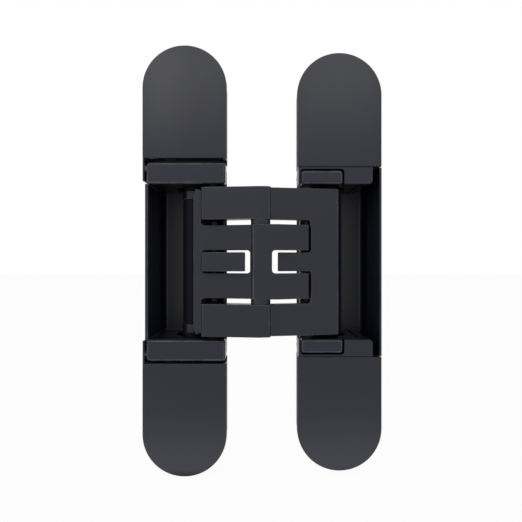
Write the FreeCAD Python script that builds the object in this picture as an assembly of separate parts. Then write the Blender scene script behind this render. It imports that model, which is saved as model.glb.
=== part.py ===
import FreeCAD, Part

import math
import os

# Concealed invisible door hinge, shown fully open.
# X runs across the two bodies, +Y into the routed pockets, +Z along the centre pin, up as fitted.
# All values are millimetres and degrees, in a working frame centred on the plane of the centre pin.
# Export moves the model so that the origin is the centre of the frame-side screw pattern.

# Centre pin and fold linkage: each arm pivots in one body and slides in the other
KNUCKLE_RADIUS = 3.5
PIN_RADIUS = 1.75
PIN_LIFT = 2.0            # centre pin in front of the body faces when open
CLOSED_GAP = 4.0          # between the two faces when closed
PIVOT_X = 17.5
PIVOT_DEPTH = 12.0
SLIDER_X = 25.5
SLIDER_DEPTH = 11.0
PIVOT_BOSS_RADIUS = 3.0
SLIDER_BOSS_RADIUS = 3.6
SLEEVE_RADIUS = 2.5
TUBE_RADIUS = 3.5
PIN_CLEARANCE = 0.05
SLOT_CLEARANCE = 0.06
PATH_STEPS = 8
SLIP = 0.1                # end play of washers, sleeves and tubes

# Arm rows along the pin, half distances from the middle of the hinge
ARM_HALF = 26.3
ARM_END_GAP = 1.5
OUTER_ROW_START = 14.9
INNER_ROW_END = 13.1
INNER_ROW_START = 4.1
TONGUE_HALF = 3.35
STRIP_INSET = 0.6         # outer strip of the door arm's plate, from the end of the arm
STRIP_CORNER = 1.5
LEG_LENGTH = 3.1
PIN_INSET = 0.3
CENTRE_WASHER_RADIUS = 3.45
CENTRE_WASHER_GAP = 0.05

# Arm plates and fingers in plan, distances from the centre pin
PLATE_THICKNESS = 4.6
PLATE_START = 3.4
PLATE_START_DEPTH = -2.0
PLATE_ROOT = (2.4, 1.0)
FRAME_PLATE_END = 28.0
DOOR_PLATE_END = 24.3
PLATE_END_DEPTH = 2.8
PLATE_CORNER = 0.7
FRAME_PLATE_SLOPE = (1.5, 2.6)  # the end's sloping face, out and back
DOOR_PLATE_SLOPE = (0.0, 1.0)
FRAME_WINDOW_END = 18.0
DOOR_WINDOW_END = 21.4
KNUCKLE_STEP = 0.1        # the flattened front stands this proud of the round barrel
KNUCKLE_SIDE_DEPTH = -4.1
FRAME_KNUCKLE_SHOULDER = (3.1, -5.05)
DOOR_KNUCKLE_SHOULDER = (2.6, -5.25)
KNUCKLE_WEB = 3.6         # edge of the middle windows beside the knuckle
FINGER_WEB = 4.0
WINDOW_CORNER = 1.3
TONGUE_CORNER = 0.6
FRAME_FINGER_END = 21.1
FRAME_FINGER_END_DEPTH = -2.6
FINGER_CORNER = 1.0
FINGER_TAPER = 0.65
DOOR_FINGER_KNEE = 6.1
DOOR_FINGER_KNEE_DEPTH = -5.3
DOOR_FINGER_END = 17.3
DOOR_FINGER_END_DEPTH = -0.3
DOOR_FINGER_HEEL = 5.6
FINGER_UNDER = 4.6
FINGER_ROOT = (1.6, 1.05)
LEG_START = 22.05         # inner face of a slider leg
LEG_INNER_X = 14.7        # inner face of a pivot leg
LEG_CORNER = 1.5
FRAME_TONGUE_DOOR_END = 6.1
FRAME_TONGUE_FRAME_END = 5.5
FRAME_TONGUE_REAR = 2.0

# Both bodies, depths behind their front faces
BORE_DEPTH = 4.0
FACE_EDGE_BREAK = 0.5
COVER_THICKNESS = 2.5
COVER_REST_GAP = 0.05
COVER_EDGE_BREAK = 0.4
RIM_THICKNESS = 1.2
RIM_INSET = 0.3
SEAT_DEPTH = 10.0         # rear of the end plates, which rests in the shallow pocket
PLATE_FRONT = 7.6
TONGUE_FRONT = 5.5
TONGUE_REAR = 7.5
TONGUE_CORNER_PLAN = 2.0
WALL = 1.1
CAVITY_FLOOR = 30.4
CAVITY_CORNER = 2.0
DEEP_CORNER = 2.0
DEEP_DRAFT = 1.3
CORNER_BESIDE_ARMS = 0.8

# Screws, cover posts and cams under the covers
WOOD_SCREW_RADIUS = 2.2
WOOD_SCREW_HEAD_RADIUS = 4.2
WOOD_SCREW_BOSS_RADIUS = 5.2
WOOD_SCREW_BOSS_FRONT = 6.4
COUNTERSINK_DEPTH = 2.0
POST_RADIUS = 1.5
POST_END = 8.6
POST_END_ROOM = 0.3
POST_BOSS_RADIUS = 2.8
POST_BOSS_FRONT = 4.4
POST_SPREAD = 10.2
CLAMP_RADIUS = 2.0
CLAMP_SLOT_CLEARANCE = 0.2
CLAMP_HEAD_RADIUS = 3.5
CLAMP_WASHER_RADIUS = 4.0
CLAMP_HEAD_FRONT = 2.8
CLAMP_HEAD_REAR = 4.6
CLAMP_WASHER_REAR = 5.4
CLAMP_END = 9.8
KEY_ACROSS_FLATS = 2.5
KEY_DEPTH = 1.3
CAM_DISC_RADIUS = 3.25
CAM_SHAFT_RADIUS = 1.6
CAM_CLEARANCE = 0.08
CAM_TURN = 45.0
CAM_THROW = 1.376         # eccentricity for one millimetre of travel each way
CAM_SLOT_ROOM = 0.55      # half length of the cross slot that the cam's disc swings in

# Frame-side body, on the left: places across it, then lengths beyond the end walls
FRAME_OUTER = -42.1
FRAME_INNER = -12.1
FRAME_HALF_LENGTH = 76.8
HOUSING_OUTER_INSET = 0.9
HOUSING_INNER_INSET = 0.5
HOUSING_LUG_INSET = 1.35
HOUSING_LUG_CORNERS = (0.9, 1.4)
HOUSING_FLOOR_DRAFT = 0.3
HOUSING_TONGUE_INSETS = (3.6, 2.9)
HOUSING_BACK = 32.0
HOUSING_LEDGE = 7.0
BRACKET_ARM_WIDTH = 0.6
BRACKET_ARM_FRONT = 0.3
HOUSING_LUG_LENGTH = 7.65
HOUSING_END_WALL = 5.8
BRACKET_ARM_GAP = 0.7
BRACKET_PLATE_GAP = 7.5
FRAME_COVER_GAP = 8.8
HEIGHT_ROW = 12.8
FRAME_SCREW_GAP = 6.95    # from the end of the clamping tongue
FRAME_SCREW_INSET = 9.8   # from the far end
FRAME_POST_SHARE = 0.2621  # of the way from the inner screw to the far end
HEIGHT_CLAMP_INSET = 9.1
HEIGHT_CAM_INSET = 8.9
HEIGHT_SHOWN = -0.3       # height setting of the hinge as photographed
HEIGHT_TRAVEL = 1.05      # each way from the middle setting
TONGUE_MARGIN = 4.45      # of the clamping tongues beyond their clamp screws

# Door-side body, on the right: places across it, then lengths beyond the end walls
DOOR_INNER = 13.0
DOOR_OUTER = 43.1
DOOR_HALF_LENGTH = 74.4
CASE_WALL = 0.7
CASE_BACK = 31.7
CASE_BACK_INSET = 2.0
CASE_FLOOR_START = 2.4
CASE_OUTER_DRAFT = 0.4
CARRIER_INNER_INSET = 0.5
CARRIER_OUTER_GAP = 2.3   # to the case's outer wall
CARRIER_DEEP_GAP = 3.9
CARRIER_DEEP_FRONT = 2.0
CARRIER_CORNERS = (0.4, 1.3)
CARRIER_TONGUE_INSETS = (2.5, 4.6)
CARRIER_BACK = 29.9
CARRIER_BACK_GAP = 0.3
CARRIER_SKIN = 0.8
CARRIER_NOTCH = 16.0
CARRIER_WALL_INSET = 0.45
CARRIER_FLANGE = (5.0, 1.0)
CARRIER_WALL_END_GAP = 1.0
BLOCK_FRONT_END = 29.3
BLOCK_REAR_WALL = 3.3     # of the carrier beside the block
BLOCK_STEP = 5.7
BLOCK_GAP = 0.5
BLOCK_CORNER = 0.6
BLOCK_SIDE_GAP = 0.05
BLOCK_DRAFT = 0.9
NOTCH_CORNER = 1.1
NOTCH_EDGE_BREAK = 0.3
SPIGOT_RADIUS = 2.0
SPIGOT_INSETS = (6.15, 2.2)
SPIGOT_DEPTHS = (22.5, 12.5)
CASE_WALL_END_GAP = 0.3   # from the outer wall to the covers
BLOCK_LENGTH = 4.8
DOOR_COVER_GAP = 6.1
CASE_END_GAPS = (6.4, 7.6)
SIDE_ROW = 11.7
DOOR_SCREW_GAP = 6.55
DOOR_SCREW_INSET = 8.9
DOOR_POST_SHARE = 0.272
SIDE_CAM_SHARE = 0.66445   # of the width of the body
SIDE_CLAMP_SHARE = 0.3714  # of the way from the tongue's inner edge to the cam
SIDE_TRAVEL = (-2.0, 0.5)  # of the case along the carrier

# Cutters run this far past what they cut, and pieces to be joined run this far into each other
PAST = 1.0
SUNK = 0.5
NEAR_ROUND = 0.001        # keeps a sliver of straight between two arcs


def place_between(start, end, share):
    return start + share * (end - start)


# Worked out from the values above
PIN_Y = -PIN_LIFT
KNUCKLE_TOP = PIN_Y - KNUCKLE_RADIUS - KNUCKLE_STEP
STRIP_HALF = ARM_HALF - STRIP_INSET
LEG_ROW_START = ARM_HALF - LEG_LENGTH
END_WALL = ARM_HALF + ARM_END_GAP
PIN_END = END_WALL + BORE_DEPTH - 2 * SLIP
FRAME_MIDDLE = (FRAME_OUTER + FRAME_INNER) / 2
HOUSING_OUTER = FRAME_OUTER + HOUSING_OUTER_INSET
HOUSING_INNER = FRAME_INNER - HOUSING_INNER_INSET
HOUSING_LUG_OUTER = FRAME_OUTER + HOUSING_LUG_INSET
HOUSING_TONGUE = (FRAME_OUTER + HOUSING_TONGUE_INSETS[0], FRAME_INNER - HOUSING_TONGUE_INSETS[1])
HOUSING_LUG_END = END_WALL + HOUSING_LUG_LENGTH
HOUSING_DEEP_END = END_WALL + HOUSING_END_WALL
BRACKET_ARM_INNER = FRAME_OUTER + BRACKET_ARM_WIDTH
BRACKET_ARM_START = END_WALL + BRACKET_ARM_GAP
BRACKET_PLATE_START = END_WALL + BRACKET_PLATE_GAP
FRAME_COVER_START = END_WALL + FRAME_COVER_GAP
HEIGHT_CLAMP = (FRAME_OUTER + HEIGHT_CLAMP_INSET, END_WALL + HEIGHT_ROW)
HEIGHT_CAM = (FRAME_INNER - HEIGHT_CAM_INSET, -END_WALL - HEIGHT_ROW)
HOUSING_TONGUE_END = HEIGHT_CLAMP[1] + TONGUE_MARGIN
FRAME_SCREW_ROWS = (HOUSING_TONGUE_END + FRAME_SCREW_GAP, FRAME_HALF_LENGTH - FRAME_SCREW_INSET)
FRAME_POST_ROW = place_between(FRAME_SCREW_ROWS[0], FRAME_HALF_LENGTH, FRAME_POST_SHARE)
DOOR_MIDDLE = (DOOR_OUTER + DOOR_INNER) / 2
CASE_WALL_INNER = DOOR_OUTER - CASE_WALL
CARRIER_INNER = DOOR_INNER + CARRIER_INNER_INSET
CARRIER_OUTER = CASE_WALL_INNER - CARRIER_OUTER_GAP
CARRIER_DEEP_OUTER = CASE_WALL_INNER - CARRIER_DEEP_GAP
CARRIER_TONGUE = (DOOR_INNER + CARRIER_TONGUE_INSETS[0], DOOR_OUTER - CARRIER_TONGUE_INSETS[1])
BLOCK_INNER = CARRIER_INNER + CARRIER_SKIN + BLOCK_SIDE_GAP
BLOCK_REAR_END = CARRIER_DEEP_OUTER - BLOCK_REAR_WALL
BLOCK_END = END_WALL + BLOCK_LENGTH
DOOR_COVER_START = END_WALL + DOOR_COVER_GAP
CASE_WALL_END = DOOR_COVER_START - CASE_WALL_END_GAP
CARRIER_LUG_END = DOOR_COVER_START
CASE_END_WALL = [END_WALL + gap for gap in CASE_END_GAPS]
SIDE_CAM = (place_between(DOOR_INNER, DOOR_OUTER, SIDE_CAM_SHARE), -END_WALL - SIDE_ROW)
SIDE_CLAMP = (place_between(CARRIER_TONGUE[0], SIDE_CAM[0], SIDE_CLAMP_SHARE), END_WALL + SIDE_ROW)
CARRIER_TONGUE_END = SIDE_CLAMP[1] + TONGUE_MARGIN
DOOR_SCREW_ROWS = (CARRIER_TONGUE_END + DOOR_SCREW_GAP, DOOR_HALF_LENGTH - DOOR_SCREW_INSET)
DOOR_POST_ROW = place_between(DOOR_SCREW_ROWS[0], DOOR_HALF_LENGTH, DOOR_POST_SHARE)
SIDE_MIDDLE = sum(SIDE_TRAVEL) / 2
SIDE_SPAN = (SIDE_TRAVEL[1] - SIDE_TRAVEL[0]) / 2
SPIGOTS = (
    (BLOCK_INNER + SPIGOT_INSETS[0], SPIGOT_DEPTHS[0]),
    (BLOCK_REAR_END - SPIGOT_INSETS[1], SPIGOT_DEPTHS[1]),
)


def vec(x, y, z):
    return FreeCAD.Vector(x, y, z)


def box(x, y, z):
    """A box from three (low, high) pairs."""
    corner = vec(x[0], y[0], z[0])
    return Part.makeBox(x[1] - x[0], y[1] - y[0], z[1] - z[0], corner)


def pin_z(x, y, radius, start, end):
    return Part.makeCylinder(radius, end - start, vec(x, y, start), vec(0, 0, 1))


def pin_y(x, z, radius, start, end):
    return Part.makeCylinder(radius, end - start, vec(x, start, z), vec(0, 1, 0))


def rounded_wire(corners, place):
    """A closed wire through (u, v) or (u, v, radius) corners, with tangent arcs at the radii."""
    points = [place(c[0], c[1]) for c in corners]
    radii = [c[2] if len(c) > 2 else 0.0 for c in corners]
    ends = []
    edges = []
    count = len(points)
    for i in range(count):
        here = points[i]
        before = (points[i - 1] - here).normalize()
        after = (points[(i + 1) % count] - here).normalize()
        if radii[i] == 0.0:
            ends.append((here, here))
            continue
        half = before.getAngle(after) / 2
        run = radii[i] / math.tan(half)
        start = here + before * run
        end = here + after * run
        bisector = (before + after).normalize()
        middle = here + bisector * (radii[i] / math.sin(half) - radii[i])
        ends.append((start, end))
        edges.append(Part.Arc(start, middle, end).toShape())
    for i in range(count):
        leave = ends[i][1]
        arrive = ends[(i + 1) % count][0]
        if leave.distanceToPoint(arrive) > 1e-6:
            edges.append(Part.LineSegment(leave, arrive).toShape())
    return Part.Wire(Part.__sortEdges__(edges))


def prism_z(corners, start, end):
    """An outline in X and Y, run along Z."""
    wire = rounded_wire(corners, lambda u, v: vec(u, v, start))
    return Part.Face(wire).extrude(vec(0, 0, end - start))


def prism_y(corners, start, end):
    """An outline in X and Z, run along Y."""
    wire = rounded_wire(corners, lambda u, v: vec(u, start, v))
    return Part.Face(wire).extrude(vec(0, end - start, 0))


def join(first, *others):
    return first.fuse(list(others)).removeSplitter()


def break_front(shape, depth, size):
    """Breaks the edges that lie in the plane y = depth with a chamfer."""
    edges = []
    for edge in shape.Edges:
        span = edge.BoundBox
        if abs(span.YMin - depth) < 1e-4 and abs(span.YMax - depth) < 1e-4:
            edges.append(edge)
    return shape.makeChamfer(size, edges)


def mirrored_z(shape):
    return shape.mirror(vec(0, 0, 0), vec(0, 0, 1))


def mirrored_x(shape):
    return shape.mirror(vec(0, 0, 0), vec(1, 0, 0))


def both_ends(shape):
    return [shape, mirrored_z(shape)]


def slider_centre(closing):
    """Centre of a slider in the body that it slides in, at a closing angle from 0 to 180."""
    pivot = (-PIVOT_X, PIVOT_DEPTH)
    pin_open = (0.0, PIN_Y)
    reach = math.hypot(PIVOT_X, PIVOT_DEPTH - PIN_Y)
    plane = -CLOSED_GAP / 2
    pin_closed = (pivot[0] - math.sqrt(reach ** 2 - (PIVOT_DEPTH - plane) ** 2), plane)
    start = math.atan2(pin_open[1] - pivot[1], pin_open[0] - pivot[0])
    end = math.atan2(pin_closed[1] - pivot[1], pin_closed[0] - pivot[0])
    turned = math.radians(closing)
    arm = start + (end - start) * closing / 180.0
    pin = (pivot[0] + reach * math.cos(arm), pivot[1] + reach * math.sin(arm))
    length = math.hypot(SLIDER_X, SLIDER_DEPTH - PIN_Y)
    offset = math.atan2(SLIDER_DEPTH - PIN_Y, SLIDER_X) - start
    other = math.pi - turned - arm - offset
    return pin[0] + length * math.cos(other), pin[1] + length * math.sin(other)


def fold_turn():
    """Turn of each arm in its body over the whole 180 degrees of closing."""
    reach = math.hypot(PIVOT_X, PIVOT_DEPTH - PIN_Y)
    start = math.asin((PIVOT_DEPTH - PIN_Y) / reach)
    end = math.asin((PIVOT_DEPTH + CLOSED_GAP / 2) / reach)
    return 180.0 - math.degrees(start) - math.degrees(end)


def slider_slot(start, end):
    """The curved slot that a sleeve runs along, in the frame-side body, as a cutter."""
    width = SLEEVE_RADIUS + SLOT_CLEARANCE
    centres = [slider_centre(180.0 * i / PATH_STEPS) for i in range(PATH_STEPS + 1)]
    ahead = [slider_centre(180.0 * i / PATH_STEPS + 0.1) for i in range(PATH_STEPS + 1)]
    near = []
    far = []
    for here, there in zip(centres, ahead):
        along = vec(there[0] - here[0], there[1] - here[1], 0).normalize()
        across = vec(-along.y, along.x, 0)
        middle = vec(here[0], here[1], start)
        near.append(middle + across * width)
        far.append(middle - across * width)
        last = middle + along * width
        if here == centres[0]:
            first = middle - along * width
    one_side = Part.BSplineCurve()
    one_side.interpolate(near)
    other_side = Part.BSplineCurve()
    other_side.interpolate(far)
    far_end = Part.Arc(near[-1], last, far[-1])
    near_end = Part.Arc(far[0], first, near[0])
    edges = [one_side.toShape(), far_end.toShape(), other_side.toShape(), near_end.toShape()]
    face = Part.Face(Part.Wire(Part.__sortEdges__(edges)))
    return face.extrude(vec(0, 0, end - start))


def plate_depth(x, plate_end):
    """Depth of a plate's front surface at a distance from the centre pin."""
    slope = (PLATE_END_DEPTH - PLATE_START_DEPTH) / (plate_end - PLATE_START)
    return PLATE_START_DEPTH + slope * (x - PLATE_START)


def plate_outline(plate_end, slope):
    """A slider arm's plate on the +X side, from the knuckle to its sloping outer end."""
    under = PLATE_END_DEPTH + PLATE_THICKNESS
    return [
        (PLATE_START, PLATE_START_DEPTH),
        (plate_end, PLATE_END_DEPTH),
        (plate_end + slope[0], PLATE_END_DEPTH + slope[1]),
        (plate_end + slope[0], under, PLATE_CORNER),
        (LEG_START, under),
        (LEG_START, plate_depth(LEG_START, plate_end) + PLATE_THICKNESS),
        PLATE_ROOT,
    ]


def slider_legs(plate_end):
    """Legs at both ends of a plate, down to the slider pin, on the +X side."""
    top = PLATE_END_DEPTH + PLATE_CORNER
    outer = min(plate_end, SLIDER_X + SLIDER_BOSS_RADIUS) - SUNK
    corners = [(LEG_START, top), (outer, top), (outer, SLIDER_DEPTH), (LEG_START, SLIDER_DEPTH)]
    leg = prism_z(corners, LEG_ROW_START, ARM_HALF)
    boss = pin_z(SLIDER_X, SLIDER_DEPTH, SLIDER_BOSS_RADIUS, LEG_ROW_START, ARM_HALF)
    return both_ends(leg) + both_ends(boss)


def knuckle_front(shoulder, start, end):
    """Flattened front of a knuckle, on the +X side, down to the plate that it carries."""
    corners = [
        (0.0, KNUCKLE_TOP),
        shoulder,
        (KNUCKLE_RADIUS, KNUCKLE_SIDE_DEPTH),
        (PLATE_START, PLATE_START_DEPTH + SUNK),
        (0.0, PIN_Y),
    ]
    return prism_z(corners, start, end)


def finger_outline(front):
    """A pivot arm's outline on the +X side: its front corners, then back to the knuckle."""
    return front + [
        (PIVOT_X, PIVOT_DEPTH + SUNK),
        (LEG_INNER_X, PIVOT_DEPTH),
        (LEG_INNER_X, FINGER_UNDER, LEG_CORNER),
        FINGER_ROOT,
        (0.0, PIN_Y),
    ]


def window(start, end, low, high, inner_corner, outer_corners):
    """A cutter through a plate on the +X side, from a distance start out to end."""
    corners = [
        (start, low, inner_corner),
        (end, low, outer_corners[0]),
        (end, high, outer_corners[1]),
        (start, high, inner_corner),
    ]
    return prism_y(corners, -SLIDER_DEPTH, SLIDER_DEPTH * 2)


def frame_arm_plate():
    """Plate on the door side, with a window each side of its middle tongue."""
    outline = plate_outline(FRAME_PLATE_END, FRAME_PLATE_SLOPE)
    plate = prism_z(outline, -ARM_HALF, ARM_HALF)
    rounds = (TONGUE_CORNER, WINDOW_CORNER)
    start = -KNUCKLE_RADIUS
    opening = window(start, FRAME_WINDOW_END, TONGUE_HALF, OUTER_ROW_START, 0.0, rounds)
    square = (0.0, 0.0)
    short = window(start, FRAME_TONGUE_DOOR_END, -OUTER_ROW_START, OUTER_ROW_START, 0.0, square)
    return plate.cut(both_ends(opening) + [short])


def door_arm_plate():
    """Plate with open pockets at both ends and a window in the middle, made on the +X side."""
    outline = plate_outline(DOOR_PLATE_END, DOOR_PLATE_SLOPE)
    plate = prism_z(outline, -STRIP_HALF, STRIP_HALF)
    ends = [
        (0.0, -STRIP_HALF),
        (DOOR_PLATE_END, -STRIP_HALF, STRIP_CORNER),
        (DOOR_PLATE_END, STRIP_HALF, STRIP_CORNER),
        (0.0, STRIP_HALF),
    ]
    plate = plate.common(prism_y(ends, -SLIDER_DEPTH, SLIDER_DEPTH))
    rounds = (WINDOW_CORNER, WINDOW_CORNER)
    row = (-INNER_ROW_START, INNER_ROW_START)
    pocket = window(-KNUCKLE_RADIUS, DOOR_WINDOW_END, INNER_ROW_END, 2 * ARM_HALF, 0.0, rounds)
    opening = window(KNUCKLE_WEB, DOOR_WINDOW_END, *row, WINDOW_CORNER, rounds)
    return plate.cut(both_ends(pocket) + [opening])


def frame_arm_hook():
    """Fingers, middle tongue and pivot boss of the frame arm, made on the +X side."""
    leg = [
        (FRAME_FINGER_END, FRAME_FINGER_END_DEPTH, FINGER_CORNER),
        (FRAME_FINGER_END - FINGER_TAPER, PIVOT_DEPTH),
    ]
    finger = finger_outline([(0.0, KNUCKLE_TOP)] + leg)
    slope = (FRAME_FINGER_END_DEPTH - KNUCKLE_TOP) / FRAME_FINGER_END
    tongue = [
        (FRAME_TONGUE_FRAME_END, KNUCKLE_TOP + slope * FRAME_TONGUE_FRAME_END, TONGUE_CORNER),
        *leg,
        (LEG_INNER_X, PIVOT_DEPTH),
        (LEG_INNER_X, FINGER_UNDER, LEG_CORNER),
        (FRAME_TONGUE_FRAME_END, FRAME_TONGUE_REAR),
    ]
    parts = both_ends(prism_z(finger, OUTER_ROW_START, ARM_HALF))
    parts.append(prism_z(tongue, -TONGUE_HALF, TONGUE_HALF))
    parts.append(pin_z(PIVOT_X, PIVOT_DEPTH, PIVOT_BOSS_RADIUS, -ARM_HALF, ARM_HALF))
    return parts


def frame_arm():
    """Pivots in the frame side and slides in the door side, with knuckles in the outer rows."""
    parts = [mirrored_x(shape) for shape in frame_arm_hook()]
    parts += both_ends(pin_z(0, PIN_Y, KNUCKLE_RADIUS, OUTER_ROW_START, ARM_HALF))
    parts += both_ends(knuckle_front(FRAME_KNUCKLE_SHOULDER, OUTER_ROW_START, ARM_HALF))
    parts += slider_legs(FRAME_PLATE_END)
    solid = join(frame_arm_plate(), *parts)
    bores = [
        through(0, PIN_Y, PIN_RADIUS),
        through(-PIVOT_X, PIVOT_DEPTH, PIN_RADIUS + PIN_CLEARANCE),
        through(SLIDER_X, SLIDER_DEPTH, PIN_RADIUS),
    ]
    return solid.cut(bores)


def door_arm_fingers():
    """The two fingers of the door arm and the web between them, on the +X side."""
    finger = finger_outline(
        [
            (0.0, KNUCKLE_TOP),
            (DOOR_FINGER_KNEE, DOOR_FINGER_KNEE_DEPTH),
            (DOOR_FINGER_END, DOOR_FINGER_END_DEPTH, FINGER_CORNER),
            (DOOR_FINGER_END, DOOR_FINGER_HEEL),
            (PIVOT_X + PIVOT_BOSS_RADIUS - 2 * SLIP, PIVOT_DEPTH),
        ]
    )
    row = (-INNER_ROW_START, INNER_ROW_START)
    between = window(FINGER_WEB, SLIDER_X, *row, WINDOW_CORNER, (0.0, 0.0))
    return prism_z(finger, -INNER_ROW_END, INNER_ROW_END).cut(between)


def door_arm():
    """Pivots in the door side and slides in the frame side, with its knuckle in the inner rows."""
    parts = [door_arm_fingers()]
    parts.append(pin_z(0, PIN_Y, KNUCKLE_RADIUS, -INNER_ROW_END, INNER_ROW_END))
    parts.append(pin_z(PIVOT_X, PIVOT_DEPTH, PIVOT_BOSS_RADIUS, -ARM_HALF, ARM_HALF))
    front = knuckle_front(DOOR_KNUCKLE_SHOULDER, -INNER_ROW_END, INNER_ROW_END)
    parts.append(mirrored_x(front))
    parts += [mirrored_x(shape) for shape in slider_legs(DOOR_PLATE_END)]
    solid = join(mirrored_x(door_arm_plate()), *parts)
    bores = [
        through(0, PIN_Y, PIN_RADIUS + PIN_CLEARANCE),
        through(PIVOT_X, PIVOT_DEPTH, PIN_RADIUS + PIN_CLEARANCE),
        through(-SLIDER_X, SLIDER_DEPTH, PIN_RADIUS),
    ]
    return solid.cut(bores)


def through(x, y, radius):
    """A cutter through the full height of an arm."""
    return pin_z(x, y, radius, -ARM_HALF - PAST, ARM_HALF + PAST)


def ring_z(x, y, radius, bore, start, end):
    """A ring or tube along Z."""
    return pin_z(x, y, radius, start, end).cut(pin_z(x, y, bore, start - PAST, end + PAST))


def centre_pin():
    return pin_z(0, PIN_Y, PIN_RADIUS, -ARM_HALF + PIN_INSET, ARM_HALF - PIN_INSET)


def centre_washer():
    """Fills the gap between an inner and an outer knuckle, above the middle."""
    start = INNER_ROW_END + CENTRE_WASHER_GAP
    end = OUTER_ROW_START - CENTRE_WASHER_GAP
    return ring_z(0, PIN_Y, CENTRE_WASHER_RADIUS, PIN_RADIUS + PIN_CLEARANCE, start, end)


def cross_pin(x, y):
    """A pivot or slider pin, as long as the arms and both bores."""
    return pin_z(x, y, PIN_RADIUS, -PIN_END, PIN_END)


def spacer(x, y, radius):
    """Thrust washer between an arm and the end wall above it."""
    bore = PIN_RADIUS + PIN_CLEARANCE
    return ring_z(x, y, radius, bore, ARM_HALF + SLIP, END_WALL - SLIP)


def slider_sleeve(x, y):
    """Sleeve on the upper end of a slider pin, inside the slot."""
    end = END_WALL + BORE_DEPTH - 3 * SLIP
    return ring_z(x, y, SLEEVE_RADIUS, PIN_RADIUS, END_WALL + SLIP, end)


def slider_tube(x, y):
    """Long bearing tube on a slider pin, between the legs of its arm."""
    half = LEG_ROW_START - SLIP
    return ring_z(x, y, TUBE_RADIUS, PIN_RADIUS + PIN_CLEARANCE, -half, half)


def hex_recess(x, z, front):
    """A hexagonal key recess sunk from a front plane."""
    radius = KEY_ACROSS_FLATS / math.sqrt(3)
    turns = [math.radians(60 * i) for i in range(6)]
    corners = [(x + radius * math.cos(t), z + radius * math.sin(t)) for t in turns]
    return prism_y(corners, front - PAST, front + KEY_DEPTH)


def slot_y(x, z, radius, half_x, half_z):
    """A cutter along Y through a tongue, whose outline is a rounded slot."""
    ends = radius - NEAR_ROUND
    corners = [
        (x - half_x - radius, z - half_z - radius, ends),
        (x + half_x + radius, z - half_z - radius, ends),
        (x + half_x + radius, z + half_z + radius, ends),
        (x - half_x - radius, z + half_z + radius, ends),
    ]
    return prism_y(corners, TONGUE_FRONT - PAST, TONGUE_REAR + PAST)


def tongue_outline(sides, start, end):
    """A clamping tongue seen from the front, square where it leaves its body."""
    return [
        (sides[0], start),
        (sides[1], start),
        (sides[1], end, TONGUE_CORNER_PLAN),
        (sides[0], end, TONGUE_CORNER_PLAN),
    ]


def housing_lug():
    """Visible block above the frame-side arms."""
    corners = [
        (HOUSING_LUG_OUTER, END_WALL, CORNER_BESIDE_ARMS),
        (HOUSING_INNER, END_WALL, CORNER_BESIDE_ARMS),
        (HOUSING_INNER, HOUSING_LUG_END, HOUSING_LUG_CORNERS[0]),
        (HOUSING_LUG_OUTER, HOUSING_LUG_END, HOUSING_LUG_CORNERS[1]),
    ]
    return break_front(prism_y(corners, 0.0, TONGUE_REAR), 0.0, FACE_EDGE_BREAK)


def housing_tongue():
    """Clamping tongue that runs under the cover, with a slot for the clamp screw."""
    x, z = HEIGHT_CLAMP
    outline = tongue_outline(HOUSING_TONGUE, HOUSING_LUG_END - PAST, HOUSING_TONGUE_END)
    tongue = prism_y(outline, TONGUE_FRONT, TONGUE_REAR)
    return tongue.cut(slot_y(x, z, CLAMP_RADIUS + CLAMP_SLOT_CLEARANCE, 0.0, HEIGHT_TRAVEL))


def bearing_cutters():
    """Pivot bore and slider slot in a frame-side end wall, as cutters from below it."""
    start = END_WALL - PAST
    end = END_WALL + BORE_DEPTH
    return [pin_z(-PIVOT_X, PIVOT_DEPTH, PIN_RADIUS, start, end), slider_slot(start, end)]


def housing():
    """Deep frame-side box with the arms' end walls, which moves up and down for height."""
    outer = [
        (HOUSING_OUTER, HOUSING_LEDGE),
        (HOUSING_INNER, HOUSING_LEDGE),
        (HOUSING_INNER, SEAT_DEPTH),
        (HOUSING_INNER - DEEP_DRAFT, HOUSING_BACK, DEEP_CORNER),
        (HOUSING_OUTER + HOUSING_FLOOR_DRAFT, HOUSING_BACK, DEEP_CORNER),
        (HOUSING_OUTER, SEAT_DEPTH),
    ]
    cavity = [
        (HOUSING_OUTER + WALL, -PAST),
        (HOUSING_INNER - WALL, -PAST),
        (HOUSING_INNER - WALL, SEAT_DEPTH),
        (HOUSING_INNER - WALL - DEEP_DRAFT, CAVITY_FLOOR, CAVITY_CORNER),
        (HOUSING_OUTER + WALL + HOUSING_FLOOR_DRAFT, CAVITY_FLOOR, CAVITY_CORNER),
        (HOUSING_OUTER + WALL, SEAT_DEPTH),
    ]
    shell = prism_z(outer, -HOUSING_DEEP_END, HOUSING_DEEP_END)
    side = (HOUSING_OUTER, HOUSING_OUTER + WALL)
    side_wall = box(side, (0.0, HOUSING_LEDGE + SUNK), (-END_WALL, END_WALL))
    solid = join(shell, side_wall).cut(prism_z(cavity, -END_WALL, END_WALL))
    solid = join(solid, *both_ends(housing_lug()), *both_ends(housing_tongue()))
    x, z = HEIGHT_CAM
    across = CAM_THROW * HEIGHT_TRAVEL
    middle = x + across * (1 + math.cos(math.radians(CAM_TURN))) / 2
    cutters = [slot_y(middle, z, CAM_DISC_RADIUS + CAM_CLEARANCE, CAM_SLOT_ROOM, 0.0)]
    for cutter in bearing_cutters():
        cutters += both_ends(cutter)
    return solid.cut(cutters)


def end_outline(inner, outer, start, end):
    """Plan outline of a body's upper end, round at the far end."""
    round_end = (outer - inner) / 2 - NEAR_ROUND
    return [(inner, start), (outer, start), (outer, end, round_end), (inner, end, round_end)]


def wood_screw_boss(x, z):
    return pin_y(x, z, WOOD_SCREW_BOSS_RADIUS, WOOD_SCREW_BOSS_FRONT, SEAT_DEPTH)


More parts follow.
